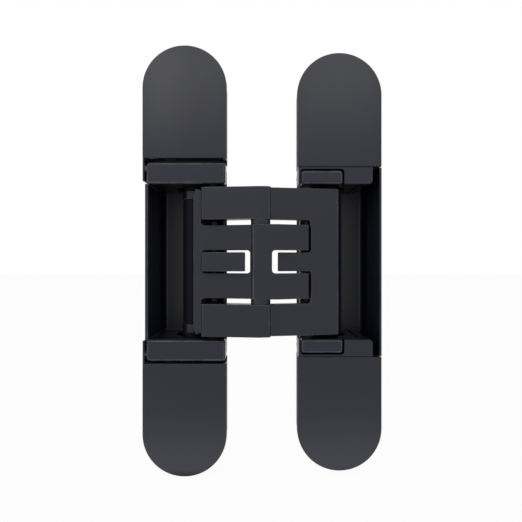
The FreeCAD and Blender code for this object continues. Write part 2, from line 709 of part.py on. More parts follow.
def wood_screw_hole(x, z):
    """Countersunk through hole."""
    front = WOOD_SCREW_BOSS_FRONT
    hole = pin_y(x, z, WOOD_SCREW_RADIUS, front - PAST, SEAT_DEPTH + PAST)
    sink = Part.makeCone(
        WOOD_SCREW_HEAD_RADIUS, WOOD_SCREW_RADIUS, COUNTERSINK_DEPTH, vec(x, front, z), vec(0, 1, 0)
    )
    return hole.fuse(sink)


def end_plate(inner, outer, middle, plate_start, rim_start, end, screw_rows, post_row):
    """Seat plate, rim, screw bosses and cover sockets of a body's upper end."""
    solid = prism_y(end_outline(inner, outer, plate_start, end), PLATE_FRONT, SEAT_DEPTH)
    rim_outline = end_outline(inner, outer, rim_start, end)
    inside = end_outline(
        inner + RIM_THICKNESS, outer - RIM_THICKNESS, rim_start - PAST, end - RIM_THICKNESS
    )
    rim = prism_y(rim_outline, COVER_THICKNESS + COVER_REST_GAP, SEAT_DEPTH)
    rim = rim.cut(prism_y(inside, 0.0, SEAT_DEPTH + PAST))
    bosses = [wood_screw_boss(middle, z) for z in screw_rows]
    holes = [wood_screw_hole(middle, z) for z in screw_rows]
    front = POST_BOSS_FRONT
    for x in (middle - POST_SPREAD, middle + POST_SPREAD):
        bosses.append(pin_y(x, post_row, POST_BOSS_RADIUS, front, SEAT_DEPTH))
        bore = POST_RADIUS + PIN_CLEARANCE
        holes.append(pin_y(x, post_row, bore, front - PAST, POST_END + POST_END_ROOM))
    return join(solid, rim, *bosses).cut(holes)


def clamp_thread(x, z):
    return pin_y(x, z, CLAMP_RADIUS, PLATE_FRONT - PAST, SEAT_DEPTH + PAST)


def cam_shaft_hole(x, z):
    radius = CAM_SHAFT_RADIUS + PIN_CLEARANCE
    return pin_y(x, z, radius, PLATE_FRONT - PAST, SEAT_DEPTH + PAST)


def frame_bracket():
    """Fixed upper end of the frame side, screwed into the shallow pocket."""
    solid = end_plate(
        FRAME_OUTER, FRAME_INNER - RIM_INSET, FRAME_MIDDLE, BRACKET_PLATE_START, FRAME_COVER_START,
        FRAME_HALF_LENGTH - RIM_INSET, FRAME_SCREW_ROWS, FRAME_POST_ROW,
    )
    side = (FRAME_OUTER, BRACKET_ARM_INNER)
    under = COVER_THICKNESS + COVER_REST_GAP
    arm = box(side, (BRACKET_ARM_FRONT, SEAT_DEPTH), (BRACKET_ARM_START, FRAME_COVER_START))
    foot = box(side, (under, SEAT_DEPTH), (FRAME_COVER_START - PAST, FRAME_COVER_START + PAST))
    return join(solid, arm, foot).cut(clamp_thread(*HEIGHT_CLAMP))


def cover(inner, outer, start, end, post_row):
    """Upper cover plate with two posts that push into the sockets behind it."""
    middle = (inner + outer) / 2
    plate = prism_y(end_outline(inner, outer, start, end), 0.0, COVER_THICKNESS)
    plate = break_front(plate, 0.0, COVER_EDGE_BREAK)
    posts = [
        pin_y(middle + side, post_row, POST_RADIUS, COVER_THICKNESS - SUNK, POST_END)
        for side in (-POST_SPREAD, POST_SPREAD)
    ]
    return join(plate, *posts)


def frame_cover():
    return cover(FRAME_OUTER, FRAME_INNER, FRAME_COVER_START, FRAME_HALF_LENGTH, FRAME_POST_ROW)


def door_cover():
    return cover(DOOR_INNER, DOOR_OUTER, DOOR_COVER_START, DOOR_HALF_LENGTH, DOOR_POST_ROW)


def carrier_lug():
    """Visible block above the door-side arms, notched for the bearing block."""
    front = [
        (CARRIER_INNER, END_WALL, CARRIER_CORNERS[0]),
        (CARRIER_OUTER, END_WALL, CARRIER_CORNERS[1]),
        (CARRIER_OUTER, CARRIER_LUG_END),
        (CARRIER_INNER, CARRIER_LUG_END),
    ]
    deep = [
        (CARRIER_INNER, CARRIER_DEEP_FRONT),
        (CARRIER_DEEP_OUTER, CARRIER_DEEP_FRONT),
        (CARRIER_DEEP_OUTER, CARRIER_BACK, DEEP_CORNER),
        (CARRIER_INNER + WALL, CARRIER_BACK),
        (CARRIER_INNER, PLATE_FRONT),
    ]
    solid = join(prism_y(front, 0.0, SEAT_DEPTH), prism_z(deep, END_WALL, CARRIER_LUG_END))
    solid = break_front(solid.cut(block_room()), 0.0, NOTCH_EDGE_BREAK)
    holes = [pin_z(x, y, SPIGOT_RADIUS, END_WALL, CARRIER_LUG_END + PAST) for x, y in SPIGOTS]
    return solid.cut(holes)


def block_room():
    """Notch and deep room that the upper bearing block takes, as cutters."""
    start = CARRIER_INNER + CARRIER_SKIN
    end = BLOCK_END + BLOCK_GAP
    notch = [
        (start, END_WALL - PAST),
        (BLOCK_FRONT_END + BLOCK_GAP, END_WALL - PAST),
        (BLOCK_FRONT_END + BLOCK_GAP, end, NOTCH_CORNER),
        (start, end, NOTCH_CORNER),
    ]
    deep = box(
        (start, BLOCK_REAR_END + BLOCK_GAP),
        (BLOCK_STEP - BLOCK_GAP, CARRIER_BACK + PAST),
        (END_WALL, end),
    )
    return [prism_y(notch, -PAST, BLOCK_STEP), deep]


def carrier_tongue():
    """Clamping tongue under the door-side cover, with a cross slot for the clamp screw."""
    x, z = SIDE_CLAMP
    outline = tongue_outline(CARRIER_TONGUE, CARRIER_LUG_END - SUNK, CARRIER_TONGUE_END)
    tongue = prism_y(outline, TONGUE_FRONT, TONGUE_REAR)
    hole = CLAMP_RADIUS + CLAMP_SLOT_CLEARANCE
    return tongue.cut(slot_y(x + SIDE_MIDDLE, z, hole, SIDE_SPAN, 0.0))


def carrier():
    """Inner door-side frame: two lugs joined by a thin drafted wall on the pin side."""
    front = CARRIER_INNER + CARRIER_WALL_INSET
    rear = CARRIER_INNER + WALL
    wide, thick = CARRIER_FLANGE
    outline = [
        (front, CARRIER_NOTCH),
        (rear, CARRIER_BACK),
        (CARRIER_INNER + wide, CARRIER_BACK),
        (CARRIER_INNER + wide, CARRIER_BACK - thick),
        (rear + CARRIER_SKIN, CARRIER_BACK - thick),
        (front + CARRIER_SKIN, CARRIER_NOTCH),
    ]
    wall_end = CARRIER_LUG_END - CARRIER_WALL_END_GAP
    rooms = [room for cutter in block_room() for room in both_ends(cutter)]
    wall = prism_z(outline, -wall_end, wall_end).cut(rooms)
    solid = join(wall, *both_ends(carrier_lug()), *both_ends(carrier_tongue()))
    x, z = SIDE_CAM
    across = CAM_THROW * SIDE_SPAN
    middle = z + across * (1 + math.cos(math.radians(CAM_TURN))) / 2
    radius = CAM_DISC_RADIUS + CAM_CLEARANCE
    return solid.cut(slot_y(x + SIDE_MIDDLE, middle, radius, 0.0, CAM_SLOT_ROOM))


def bearing_block():
    """Upper block with the pivot bore and slider slot of the door side."""
    front = [
        (BLOCK_INNER, END_WALL, BLOCK_CORNER),
        (BLOCK_FRONT_END, END_WALL, BLOCK_CORNER),
        (BLOCK_FRONT_END, BLOCK_END, NOTCH_CORNER),
        (BLOCK_INNER, BLOCK_END, NOTCH_CORNER),
    ]
    face = break_front(prism_y(front, 0.0, BLOCK_STEP + SUNK), 0.0, FACE_EDGE_BREAK)
    back = CARRIER_BACK - CARRIER_BACK_GAP
    rear = [
        (BLOCK_INNER, BLOCK_STEP),
        (BLOCK_REAR_END, BLOCK_STEP),
        (BLOCK_REAR_END, back, DEEP_CORNER),
        (BLOCK_INNER + BLOCK_DRAFT, back),
        (BLOCK_INNER, CARRIER_NOTCH),
    ]
    spigots = [pin_z(x, y, SPIGOT_RADIUS, BLOCK_END - SUNK, CARRIER_LUG_END) for x, y in SPIGOTS]
    solid = join(join(face, prism_z(rear, END_WALL, BLOCK_END)), *spigots)
    return solid.cut([mirrored_x(cutter) for cutter in bearing_cutters()])


def case():
    """Outer door-side shell: two screwed ends, an outer wall and a floor behind the arms."""
    inner = DOOR_INNER + RIM_INSET
    outer = DOOR_OUTER - RIM_INSET
    under = COVER_THICKNESS + COVER_REST_GAP
    end = end_plate(
        inner, outer, DOOR_MIDDLE, CASE_END_WALL[0], DOOR_COVER_START,
        DOOR_HALF_LENGTH - RIM_INSET, DOOR_SCREW_ROWS, DOOR_POST_ROW,
    )
    end = end.cut(clamp_thread(*SIDE_CLAMP))
    corner = (DOOR_OUTER - CASE_OUTER_DRAFT - RIM_INSET, CASE_BACK, DEEP_CORNER)
    outline = [
        (inner, PLATE_FRONT),
        (outer, PLATE_FRONT),
        (outer, SEAT_DEPTH),
        corner,
        (inner + CASE_BACK_INSET, CASE_BACK, DEEP_CORNER),
        (inner, SEAT_DEPTH),
    ]
    end_wall = prism_z(outline, *CASE_END_WALL)
    floor_front = CARRIER_BACK + CARRIER_BACK_GAP
    floor = [
        (DOOR_INNER + CASE_FLOOR_START, floor_front),
        (CASE_WALL_INNER - CASE_OUTER_DRAFT, floor_front, CAVITY_CORNER),
        (CASE_WALL_INNER, SEAT_DEPTH),
        (CASE_WALL_INNER, under),
        (outer, under),
        (outer, SEAT_DEPTH),
        corner,
        (DOOR_INNER + CASE_FLOOR_START, CASE_BACK),
    ]
    shell = prism_z(floor, -CASE_END_WALL[0], CASE_END_WALL[0])
    wall_end = CASE_WALL_END
    wall = box((CASE_WALL_INNER, DOOR_OUTER), (0.0, SEAT_DEPTH), (-wall_end, wall_end))
    solid = join(shell, wall, *both_ends(end_wall), *both_ends(end))
    return solid.cut(cam_shaft_hole(*SIDE_CAM))


def clamp_screw(x, z):
    """Low-head clamp screw with a key recess."""
    head = pin_y(x, z, CLAMP_HEAD_RADIUS, CLAMP_HEAD_FRONT, CLAMP_HEAD_REAR)
    shank = pin_y(x, z, CLAMP_RADIUS, CLAMP_HEAD_REAR - SUNK, CLAMP_END)
    return join(head, shank).cut(hex_recess(x, z, CLAMP_HEAD_FRONT))


def clamp_washer(x, z):
    ring = pin_y(x, z, CLAMP_WASHER_RADIUS, CLAMP_HEAD_REAR, CLAMP_WASHER_REAR)
    return ring.cut(pin_y(x, z, CLAMP_RADIUS + PIN_CLEARANCE, CLAMP_HEAD_REAR - PAST, TONGUE_REAR))


def cam(x, z, across_x, across_z):
    """Eccentric disc on a shaft, with a key recess, at its photographed setting."""
    disc = pin_y(x + across_x, z + across_z, CAM_DISC_RADIUS, TONGUE_FRONT, TONGUE_REAR)
    shaft = pin_y(x, z, CAM_SHAFT_RADIUS, TONGUE_FRONT + SUNK, SEAT_DEPTH - 2 * SLIP)
    return join(disc, shaft).cut(hex_recess(x, z, TONGUE_FRONT))


def height_cam():
    turn = math.radians(CAM_TURN * HEIGHT_SHOWN / HEIGHT_TRAVEL)
    throw = CAM_THROW * HEIGHT_TRAVEL
    return cam(*HEIGHT_CAM, throw * math.cos(turn), throw * math.sin(turn))


def side_cam():
    turn = math.radians(CAM_TURN * SIDE_MIDDLE / SIDE_SPAN)
    throw = CAM_THROW * SIDE_SPAN
    return cam(*SIDE_CAM, throw * math.sin(turn), throw * math.cos(turn))


def fixed_parts():
    """Pieces screwed to the door frame, in the frame's own height."""
    bracket = frame_bracket()
    clamp_x, clamp_z = HEIGHT_CLAMP
    return {
        "frame_bracket_top": bracket,
        "frame_bracket_bottom": mirrored_z(bracket).cut(cam_shaft_hole(*HEIGHT_CAM)),
        "frame_cover_top": frame_cover(),
        "frame_cover_bottom": mirrored_z(frame_cover()),
        "height_clamp_screw_top": clamp_screw(clamp_x, clamp_z),
        "height_clamp_screw_bottom": clamp_screw(clamp_x, -clamp_z),
        "height_clamp_washer_top": clamp_washer(clamp_x, clamp_z),
        "height_clamp_washer_bottom": clamp_washer(clamp_x, -clamp_z),
        "height_cam": height_cam(),
    }


def hung_parts():
    """Pieces that move with the height setting, about the middle of the arms."""
    block = bearing_block()
    upper_washer = centre_washer()
    clamp_x, clamp_z = SIDE_CLAMP
    parts = {
        "frame_housing": housing(),
        "frame_pivot_pin": cross_pin(-PIVOT_X, PIVOT_DEPTH),
        "frame_slider_pin": cross_pin(-SLIDER_X, SLIDER_DEPTH),
        "frame_arm": frame_arm(),
        "door_arm": door_arm(),
        "centre_pin": centre_pin(),
        "centre_washer_top": upper_washer,
        "centre_washer_bottom": mirrored_z(upper_washer),
        "door_carrier": carrier(),
        "door_block_top": block,
        "door_block_bottom": mirrored_z(block),
        "door_pivot_pin": cross_pin(PIVOT_X, PIVOT_DEPTH),
        "door_slider_pin": cross_pin(SLIDER_X, SLIDER_DEPTH),
        "door_case": case(),
        "door_cover_top": door_cover(),
        "door_cover_bottom": mirrored_z(door_cover()),
        "side_clamp_screw_top": clamp_screw(clamp_x, clamp_z),
        "side_clamp_screw_bottom": clamp_screw(clamp_x, -clamp_z),
        "side_clamp_washer_top": clamp_washer(clamp_x, clamp_z),
        "side_clamp_washer_bottom": clamp_washer(clamp_x, -clamp_z),
        "side_cam": side_cam(),
    }
    for side, sign in (("frame", -1), ("door", 1)):
        parts[f"{side}_slider_tube"] = slider_tube(sign * SLIDER_X, SLIDER_DEPTH)
        ends = {
            "pivot_spacer": spacer(sign * PIVOT_X, PIVOT_DEPTH, PIVOT_BOSS_RADIUS),
            "slider_spacer": spacer(sign * SLIDER_X, SLIDER_DEPTH, SLIDER_BOSS_RADIUS),
            "slider_sleeve": slider_sleeve(sign * SLIDER_X, SLIDER_DEPTH),
        }
        for name, upper in ends.items():
            parts[f"{side}_{name}_top"] = upper
            parts[f"{side}_{name}_bottom"] = mirrored_z(upper)
    return parts


def main():
    os.makedirs("parts", exist_ok=True)
    origin = vec(-FRAME_MIDDLE, -SEAT_DEPTH, 0)
    hung = {name: shape.translated(vec(0, 0, HEIGHT_SHOWN)) for name, shape in hung_parts().items()}
    for name, shape in {**fixed_parts(), **hung}.items():
        placed = shape.translated(origin)
        if len(placed.Solids) != 1 or not placed.isValid():
            raise ValueError(f"{name}: {len(placed.Solids)} solids, valid {placed.isValid()}")
        placed.Solids[0].exportStep(f"parts/{name}.step")
    closing = fold_turn()
    print(f"each arm turns {closing:.4f}, the arms turn {2 * closing - 180:.4f} about each other")


main()
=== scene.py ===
"""Looks of a concealed door hinge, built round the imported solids."""
import logging
import math
from dataclasses import dataclass, field
from enum import Enum

import bmesh
import bpy
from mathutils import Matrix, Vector


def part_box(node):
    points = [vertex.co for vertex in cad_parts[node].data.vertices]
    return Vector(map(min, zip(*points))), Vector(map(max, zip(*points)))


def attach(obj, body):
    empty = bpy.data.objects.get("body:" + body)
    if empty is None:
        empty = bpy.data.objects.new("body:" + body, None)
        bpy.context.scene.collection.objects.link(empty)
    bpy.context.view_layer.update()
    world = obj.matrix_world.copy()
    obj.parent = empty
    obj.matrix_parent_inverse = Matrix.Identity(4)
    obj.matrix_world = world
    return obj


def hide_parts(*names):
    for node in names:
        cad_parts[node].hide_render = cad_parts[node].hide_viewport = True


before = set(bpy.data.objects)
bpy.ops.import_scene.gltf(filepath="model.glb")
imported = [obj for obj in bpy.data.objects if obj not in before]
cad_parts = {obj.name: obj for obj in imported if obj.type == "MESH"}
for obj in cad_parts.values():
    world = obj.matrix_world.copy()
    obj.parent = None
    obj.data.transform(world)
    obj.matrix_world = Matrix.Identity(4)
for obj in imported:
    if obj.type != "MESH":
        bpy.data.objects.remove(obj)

MM = 0.001
MERGE_DISTANCE = 0.001 * MM
FLAT_TURN = math.radians(0.6)
CREASE_TURN = math.radians(1.0)
SHARP_TURN = math.radians(38.0)
SLENDER_CORNER = math.radians(15.0)
BROAD_FACE = 2.5 * MM
ROUNDING_STEPS = 3
EDGE_MARK = "rounded_edge"
LOG = logging.getLogger("hinge")
Colour = tuple[float, float, float]
Range = tuple[float, float]


class Shade(Enum):
    """Depth of colour that a powder coat is mixed to."""

    OUTER = (0.0095, 0.0105, 0.0190)
    BODY = (0.0080, 0.0092, 0.0195)


class Corner(Enum):
    """How far an edge is rounded, in millimetres, on each kind of piece."""

    CAST = 0.25
    FINE_CAST = 0.22
    TURNED = 0.15
    STAMPED = 0.12


def add_node(tree: bpy.types.NodeTree, kind: str, **settings: object) -> bpy.types.Node:
    """Adds a node to a tree.

    Args:
        tree: where it goes.
        kind: its type.
        settings: properties to set on it.

    Returns:
        The node.
    """
    made = tree.nodes.new(kind)
    for name, value in settings.items():
        setattr(made, name, value)
    return made


class Effect:
    """A shared shader node group, built once and placed in each material with its own values."""

    def __init__(self, name: str, inputs: dict[str, float], outputs: tuple[str, ...]) -> None:
        """Makes the empty group with its sockets.

        Args:
            name: name of the group.
            inputs: value sockets that a material sets, with their defaults.
            outputs: value sockets that a material reads.
        """
        self.tree = bpy.data.node_groups.new(name, "ShaderNodeTree")
        for socket, default in inputs.items():
            self.add_socket(socket, "INPUT").default_value = default
        for socket in outputs:
            self.add_socket(socket, "OUTPUT")
        self.source = self.tree.nodes.new("NodeGroupInput")
        self.result = self.tree.nodes.new("NodeGroupOutput")

    def add_socket(self, name: str, way: str) -> bpy.types.NodeTreeInterfaceSocket:
        """Adds a value socket to the group's outside."""
        interface = self.tree.interface
        return interface.new_socket(name=name, in_out=way, socket_type="NodeSocketFloat")

    def node(self, kind: str, **settings: object) -> bpy.types.Node:
        """Adds a node to the group and sets its properties."""
        return add_node(self.tree, kind, **settings)

    def link(self, start: bpy.types.NodeSocket, end: bpy.types.NodeSocket) -> None:
        """Joins two sockets of the group."""
        self.tree.links.new(start, end)

    def combined(
        self, operation: str, one: bpy.types.NodeSocket, other: bpy.types.NodeSocket | float
    ) -> bpy.types.NodeSocket:
        """Works out a value from two others.

        Args:
            operation: the sum, as a Math node names it.
            one: first socket.
            other: second socket, or a fixed number.

        Returns:
            The result's socket.
        """
        made = self.node("ShaderNodeMath", operation=operation)
        self.link(one, made.inputs[0])
        if isinstance(other, bpy.types.NodeSocket):
            self.link(other, made.inputs[1])
        else:
            made.inputs[1].default_value = other
        return made.outputs[0]

    def per_metre(self, size: bpy.types.NodeSocket) -> bpy.types.NodeSocket:
        """Scale of a texture whose features have a size in millimetres.

        Args:
            size: the size's socket.

        Returns:
            The scale's socket.
        """
        made = self.node("ShaderNodeMath", operation="DIVIDE")
        made.inputs[0].default_value = 1.0 / MM
        self.link(size, made.inputs[1])
        return made.outputs[0]

    def place(self, tree: bpy.types.NodeTree, **values: float) -> bpy.types.Node:
        """Puts the group in a material.

        Args:
            tree: the material's node tree.
            values: value of each input, with spaces in its name written as underscores.

        Returns:
            The group node.
        """
        placed = tree.nodes.new("ShaderNodeGroup")
        placed.node_tree = self.tree
        for name, value in values.items():
            placed.inputs[name.replace("_", " ")].default_value = value
        return placed


@dataclass(frozen=True)
class SprayedGrain:
    """Fine pimpled texture of a sprayed coat, with slow changes of tone."""

    fine_detail: float = 3.0
    patch_detail: float = 2.0
    tone_span: Range = (0.35, 0.65)

    def build(self) -> Effect:
        """Builds the group.

        Returns:
            A group that puts out Height, Tone and Patch, each from 0 to 1.
        """
        inputs = {"Grain Size": 0.35, "Patch Size": 14.0}
        effect = Effect("sprayed_grain", inputs, ("Height", "Tone", "Patch"))
        place = effect.node("ShaderNodeTexCoord")
        fine = self.noise(effect, place, "Grain Size", self.fine_detail)
        patch = self.noise(effect, place, "Patch Size", self.patch_detail)
        tone = effect.node("ShaderNodeMapRange")
        tone.inputs["From Min"].default_value = self.tone_span[0]
        tone.inputs["From Max"].default_value = self.tone_span[1]
        effect.link(fine, tone.inputs["Value"])
        effect.link(fine, effect.result.inputs["Height"])
        effect.link(tone.outputs["Result"], effect.result.inputs["Tone"])
        effect.link(patch, effect.result.inputs["Patch"])
        return effect

    def noise(
        self, effect: Effect, place: bpy.types.Node, size: str, detail: float
    ) -> bpy.types.NodeSocket:
        """Adds a noise to the group.

        Args:
            effect: the group.
            place: its texture coordinates.
            size: name of the input that sets the noise's size.
            detail: how fine its detail is.

        Returns:
            The noise's socket.
        """
        made = effect.node("ShaderNodeTexNoise")
        made.inputs["Detail"].default_value = detail
        effect.link(place.outputs["Object"], made.inputs["Vector"])
        effect.link(effect.per_metre(effect.source.outputs[size]), made.inputs["Scale"])
        return made.outputs["Fac"]


@dataclass(frozen=True)
class EdgeSheenAndWear:
    """Mask of the rounded edges, lightened as painted highlight and partly as coat that handling
    rubs thin.
    """

    breakup_scale: float = 260.0
    breakup_detail: float = 4.0
    breakup_span: Range = (0.38, 0.6)

    def build(self) -> Effect:
        """Builds the group.

        Returns:
            A group that puts out Mask, from 0 on faces to 1 on edges with painted highlight and
            wear.
        """
        effect = Effect("painted_edge_sheen_and_wear", {"Least": 0.35}, ("Mask",))
        edge = effect.node("ShaderNodeAttribute", attribute_name=EDGE_MARK)
        place = effect.node("ShaderNodeTexCoord")
        breakup = effect.node("ShaderNodeTexNoise")
        breakup.inputs["Scale"].default_value = self.breakup_scale
        breakup.inputs["Detail"].default_value = self.breakup_detail
        effect.link(place.outputs["Object"], breakup.inputs["Vector"])
        broken = effect.node("ShaderNodeMapRange")
        broken.inputs["From Min"].default_value = self.breakup_span[0]
        broken.inputs["From Max"].default_value = self.breakup_span[1]
        effect.link(effect.source.outputs["Least"], broken.inputs["To Min"])
        effect.link(breakup.outputs["Fac"], broken.inputs["Value"])
        # Rounded edges masked for lightening: painted highlight where light would catch them,
        # partly worn coat, broken up by noise.
        mask = effect.combined("MULTIPLY", edge.outputs["Fac"], broken.outputs["Result"])
        mask.node.use_clamp = True
        effect.link(mask, effect.result.inputs["Mask"])
        return effect


@dataclass(frozen=True)
class DustSpecks:
    """Mask of rare dust specks."""

    rarity: float = 0.72

    def build(self) -> Effect:
        """Builds the group.

        Returns:
            A group that puts out Specks, mostly 0 with small spots of 1.
        """
        effect = Effect("dust_specks", {"Spacing": 2.2, "Size": 0.05}, ("Specks",))
        place = effect.node("ShaderNodeTexCoord")
        cells = effect.node("ShaderNodeTexVoronoi")
        effect.link(place.outputs["Object"], cells.inputs["Vector"])
        effect.link(effect.per_metre(effect.source.outputs["Spacing"]), cells.inputs["Scale"])
        size = effect.source.outputs["Size"]
        near = effect.combined("LESS_THAN", cells.outputs["Distance"], size)
        pick = effect.node("ShaderNodeSeparateColor")
        effect.link(cells.outputs["Color"], pick.inputs[0])
        rare = effect.combined("GREATER_THAN", pick.outputs[0], self.rarity)
        effect.link(effect.combined("MULTIPLY", near, rare), effect.result.inputs["Specks"])
        return effect


class Effects:
    """The shared effects, built once."""

    def __init__(self) -> None:
        """Builds the groups."""
        self.grain = SprayedGrain().build()
        # Painted highlight along rounded edges, partly worn coat.
        self.edge_sheen_and_wear = EdgeSheenAndWear().build()
        self.dust = DustSpecks().build()


class Surface:
    """A material being put together round one Principled shader."""

    def __init__(self, name: str) -> None:
        """Makes the material with its shader.

        Args:
            name: name of the material.
        """
        self.material = bpy.data.materials.new(name)
        self.material.use_nodes = True
        self.tree = self.material.node_tree
        self.tree.nodes.clear()
        self.shader = self.tree.nodes.new("ShaderNodeBsdfPrincipled")
        output = self.tree.nodes.new("ShaderNodeOutputMaterial")
        self.tree.links.new(self.shader.outputs[0], output.inputs[0])

    def link(self, start: bpy.types.NodeSocket, end: bpy.types.NodeSocket) -> None:
        """Joins two sockets."""
        self.tree.links.new(start, end)

    def feed(self, value: bpy.types.NodeSocket, socket: str) -> None:
        """Joins a socket to the shader's socket of that name."""
        self.link(value, self.shader.inputs[socket])

    def mixed(
        self,
        factor: bpy.types.NodeSocket,
        low: Colour | bpy.types.NodeSocket,
        high: Colour | bpy.types.NodeSocket,
    ) -> bpy.types.NodeSocket:
        """Mixes two colours by a mask.

        Args:
            factor: the mask.
            low: colour, or socket, where the mask is 0.
            high: colour, or socket, where the mask is 1.

        Returns:
            The mixed colour.
        """
        mix = add_node(self.tree, "ShaderNodeMix", data_type="RGBA")
        self.link(factor, mix.inputs["Factor"])
        for socket, value in ((mix.inputs[6], low), (mix.inputs[7], high)):
            if isinstance(value, bpy.types.NodeSocket):
                self.link(value, socket)
            else:
                socket.default_value = (*value, 1.0)
        return mix.outputs[2]

    def ranged(self, value: bpy.types.NodeSocket, span: Range) -> bpy.types.NodeSocket:
        """Spreads a value from 0 to 1 over a range.

        Args:
            value: the value's socket.
            span: lowest and highest result.

        Returns:
            The result's socket.
        """
        spread = add_node(self.tree, "ShaderNodeMapRange")
        spread.inputs["To Min"].default_value = span[0]
        spread.inputs["To Max"].default_value = span[1]
        self.link(value, spread.inputs["Value"])
        return spread.outputs["Result"]

    def bumped(self, height: bpy.types.NodeSocket, strength: float, depth: float) -> None:
        """Gives the shader a bump.

        Args:
            height: the height's socket.
            strength: how strongly it shows.
            depth: its depth in millimetres.
        """
        bump = add_node(self.tree, "ShaderNodeBump")
        bump.inputs["Strength"].default_value = strength
        bump.inputs["Distance"].default_value = depth * MM
        self.link(height, bump.inputs["Height"])
        self.feed(bump.outputs["Normal"], "Normal")


def scaled(colour: Colour, by: float) -> Colour:
    """A colour made lighter or darker."""
    return (colour[0] * by, colour[1] * by, colour[2] * by)


@dataclass(frozen=True)
class PowderCoat:
    """Satin black powder coat on cast metal, with sizes in millimetres."""

    name: str
    shade: Shade
    roughness: Range = (0.30, 0.38)
    ior: float = 1.42
    grain_size: float = 0.34
    grain_tone: Range = (0.86, 1.12)
    grain_bump: float = 0.35
    grain_depth: float = 0.012
    patch_size: float = 16.0
    patch_tone: float = 1.05
    # edge is the colour of the rounded edges: painted highlight where light would catch them,
    # partly coat worn thin there.
    edge: Colour = (0.065, 0.065, 0.072)
    least_sheen_and_wear: float = 0.25
    dust: Colour = (0.35, 0.35, 0.36)
    dust_spacing: float = 5.5
    dust_size: float = 0.018

    def material(self, effects: Effects) -> bpy.types.Material:
        """Builds the coat.

        Args:
            effects: the shared groups.

        Returns:
            The material.
        """
        surface = Surface(self.name)
        tree = surface.tree
        dark, light = (scaled(self.shade.value, by) for by in self.grain_tone)
        grain = effects.grain.place(tree, Grain_Size=self.grain_size, Patch_Size=self.patch_size)
        toned = surface.mixed(grain.outputs["Tone"], dark, light)
        patch = scaled(self.shade.value, self.patch_tone)
        patched = surface.mixed(grain.outputs["Patch"], toned, patch)
        # Rounded edges mixed towards edge: painted highlight, partly worn coat.
        sheen_and_wear = effects.edge_sheen_and_wear.place(tree, Least=self.least_sheen_and_wear)
        sheened_and_worn = surface.mixed(sheen_and_wear.outputs["Mask"], patched, self.edge)
        specks = effects.dust.place(tree, Spacing=self.dust_spacing, Size=self.dust_size)
        dusty = surface.mixed(specks.outputs["Specks"], sheened_and_worn, self.dust)
        surface.feed(dusty, "Base Color")
        surface.feed(surface.ranged(grain.outputs["Patch"], self.roughness), "Roughness")
        surface.shader.inputs["IOR"].default_value = self.ior
        surface.bumped(grain.outputs["Height"], self.grain_bump, self.grain_depth)
        return surface.material


@dataclass(frozen=True)
class Steel:
    """Turned or stamped steel, blackened or plated, with sizes in millimetres."""

    name: str
    colour: Colour
    roughness: Range = (0.26, 0.40)
    metallic: float = 1.0
    turning_size: float = 0.12
    turning_tone: Range = (0.82, 1.12)
    turning_bump: float = 0.25
    turning_depth: float = 0.004
    patch_size: float = 5.0
    # edge_sheen_tone lightens rounded edges: painted highlight, partly worn finish.
    edge_sheen_tone: float = 1.5
    least_sheen_and_wear: float = 0.35

    def material(self, effects: Effects) -> bpy.types.Material:
        """Builds the steel, with fine tool marks.

        Args:
            effects: the shared groups.

        Returns:
            The material.
        """
        surface = Surface(self.name)
        tree = surface.tree
        dark, light = (scaled(self.colour, by) for by in self.turning_tone)
        grain = effects.grain.place(tree, Grain_Size=self.turning_size, Patch_Size=self.patch_size)
        toned = surface.mixed(grain.outputs["Tone"], dark, light)
        # Rounded edges lightened: painted highlight, partly wear.
        sheen_and_wear = effects.edge_sheen_and_wear.place(tree, Least=self.least_sheen_and_wear)
        sheened_and_worn = surface.mixed(sheen_and_wear.outputs["Mask"], toned, scaled(self.colour, self.edge_sheen_tone))
        surface.feed(sheened_and_worn, "Base Color")
        surface.feed(surface.ranged(grain.outputs["Patch"], self.roughness), "Roughness")
        surface.shader.inputs["Metallic"].default_value = self.metallic
        surface.bumped(grain.outputs["Height"], self.turning_bump, self.turning_depth)
        return surface.material


@dataclass(frozen=True)
class BearingPlastic:
    """Hard black bearing plastic, darkened further as painted shade for the deep band beside the
    arms, with sizes in millimetres.
    """

    name: str
    # Near-black colour: the plastic's own black, deepened as painted shade.
    colour: Colour = (0.004, 0.005, 0.009)
    roughness: Range = (0.55, 0.68)
    specular: float = 0.12
    grain_size: float = 0.6
    grain_bump: float = 0.2
    grain_depth: float = 0.006
    patch_size: float = 6.0
    patch_tone: Range = (0.8, 1.3)

    def material(self, effects: Effects) -> bpy.types.Material:
        """Builds the plastic.

        Args:
            effects: the shared groups.

        Returns:
            The material.
        """
        surface = Surface(self.name)
        dark, light = (scaled(self.colour, by) for by in self.patch_tone)
        grain = effects.grain.place(
            surface.tree, Grain_Size=self.grain_size, Patch_Size=self.patch_size
        )
        surface.feed(surface.mixed(grain.outputs["Patch"], dark, light), "Base Color")
        surface.feed(surface.ranged(grain.outputs["Tone"], self.roughness), "Roughness")
        surface.shader.inputs["Specular IOR Level"].default_value = self.specular
        surface.bumped(grain.outputs["Height"], self.grain_bump, self.grain_depth)
        return surface.material


class Finishes:
    """Every finish on the hinge."""

    def __init__(self) -> None:
        """Builds the effects and the materials."""
        effects = Effects()
        self.cover = PowderCoat("cover_coat", Shade.OUTER).material(effects)
        self.body = PowderCoat("body_coat", Shade.BODY).material(effects)
        self.arm = PowderCoat("arm_coat", Shade.OUTER).material(effects)
        # Blackened steel, darkened and dulled further as painted shade for the pins seen in the
        # gaps.
        shade_darkened_black = Steel("black_steel", (0.012, 0.012, 0.014), (0.5, 0.6), 0.0)
        self.black_steel = shade_darkened_black.material(effects)
        self.black_zinc = Steel("black_zinc", (0.07, 0.07, 0.075)).material(effects)
        self.bearing = BearingPlastic("bearing_plastic").material(effects)
        self.washer = Steel("washer_steel", (0.10, 0.10, 0.11), (0.3, 0.42)).material(effects)


